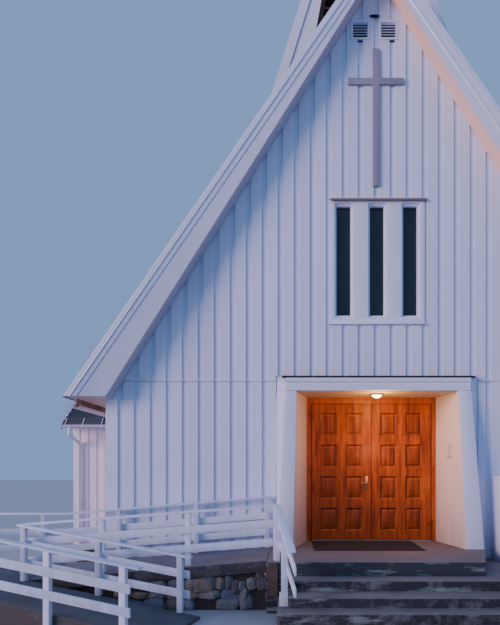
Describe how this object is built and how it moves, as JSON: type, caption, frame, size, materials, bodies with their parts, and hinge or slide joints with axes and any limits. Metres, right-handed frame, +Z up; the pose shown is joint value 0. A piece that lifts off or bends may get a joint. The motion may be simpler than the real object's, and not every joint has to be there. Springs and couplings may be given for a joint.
{
  "type": "modern timber church building",
  "caption": "Steep gabled timber church with low wings, a ridge turret, a battered doorway with double doors, steps and a railed ramp.",
  "frame": {"origin": "on the ground under the middle of the front wall's footing", "axes": "+Z up, the entrance faces -Y, the nave runs back along +Y"},
  "size_m": [11.67, 18.5972, 13.878],
  "materials": {
    "white_paint": "white painted boards",
    "slate": "dark mineral roof covering",
    "concrete": "weathered concrete",
    "stone": "rubble stone",
    "floor_timber": "oiled floor boards",
    "door_timber": "varnished panelled timber",
    "louvre_timber": "stained louvres",
    "brass": "polished",
    "glass": "clear glazing",
    "lamp": "lit opal glass",
    "cross_paint": "grey painted timber",
    "flashing": "dark sheet metal",
    "threshold": "worn metal"
  },
  "bodies": {
    "church": {"front_wall_left": "white_paint", "front_wall_right": "white_paint", "front_gable": "white_paint", "back_wall": "white_paint", "side_wall_left": "white_paint", "side_wall_right": "white_paint", "wing_walls_left": "white_paint", "wing_walls_right": "white_paint", "front_bargeboards": "white_paint", "back_bargeboards": "white_paint", "tower_front": "white_paint", "tower_back": "white_paint", "portal_jamb_left": "white_paint", "portal_jamb_right": "white_paint", "portal_head": "white_paint", "front_window_frame": "white_paint", "vent_left": "white_paint", "vent_right": "white_paint", "side_cabinet": "white_paint", "railing_wall": "white_paint", "railing_front": "white_paint", "railing_return": "white_paint", "railing_outer": "white_paint", "railing_end": "white_paint", "railing_stair": "white_paint", "main_roof_left": "slate", "main_roof_right": "slate", "wing_roof_left": "slate", "wing_roof_right": "slate", "tower_side_left": "slate", "tower_side_right": "slate", "foundation": "concrete", "porch_floor": "concrete", "entrance_platform": "concrete", "entrance_steps": "concrete", "ramp_upper": "concrete", "ramp_landing": "concrete", "ramp_lower": "concrete", "ramp_stone_base": "stone", "landing_stone_base": "stone", "floor": "floor_timber", "door_frame": "door_timber", "tower_louvres_front": "louvre_timber", "tower_louvres_back": "louvre_timber", "front_window_glass": "glass", "back_window_glass": "glass", "side_glass_left": "glass", "side_glass_right": "glass", "wing_glass_left": "glass", "wing_glass_right": "glass", "porch_lamp": "lamp", "facade_cross": "cross_paint", "portal_flashing": "flashing", "tower_cross": "flashing", "threshold": "threshold"},
    "left_leaf": {"door_left": "door_timber", "door_handle": "brass"},
    "right_leaf": {"door_right": "door_timber"}
  },
  "joints": [
    {"name": "left_door_hinge", "type": "hinge", "parent": "church", "child": "left_leaf", "pos_m": [-0.953, 0.5547, 1.7], "axis": [0, 0, -1], "range_deg": [0, 95]},
    {"name": "right_door_hinge", "type": "hinge", "parent": "church", "child": "right_leaf", "pos_m": [0.953, 0.5547, 1.7], "axis": [0, 0, 1], "range_deg": [0, 95]}
  ]
}
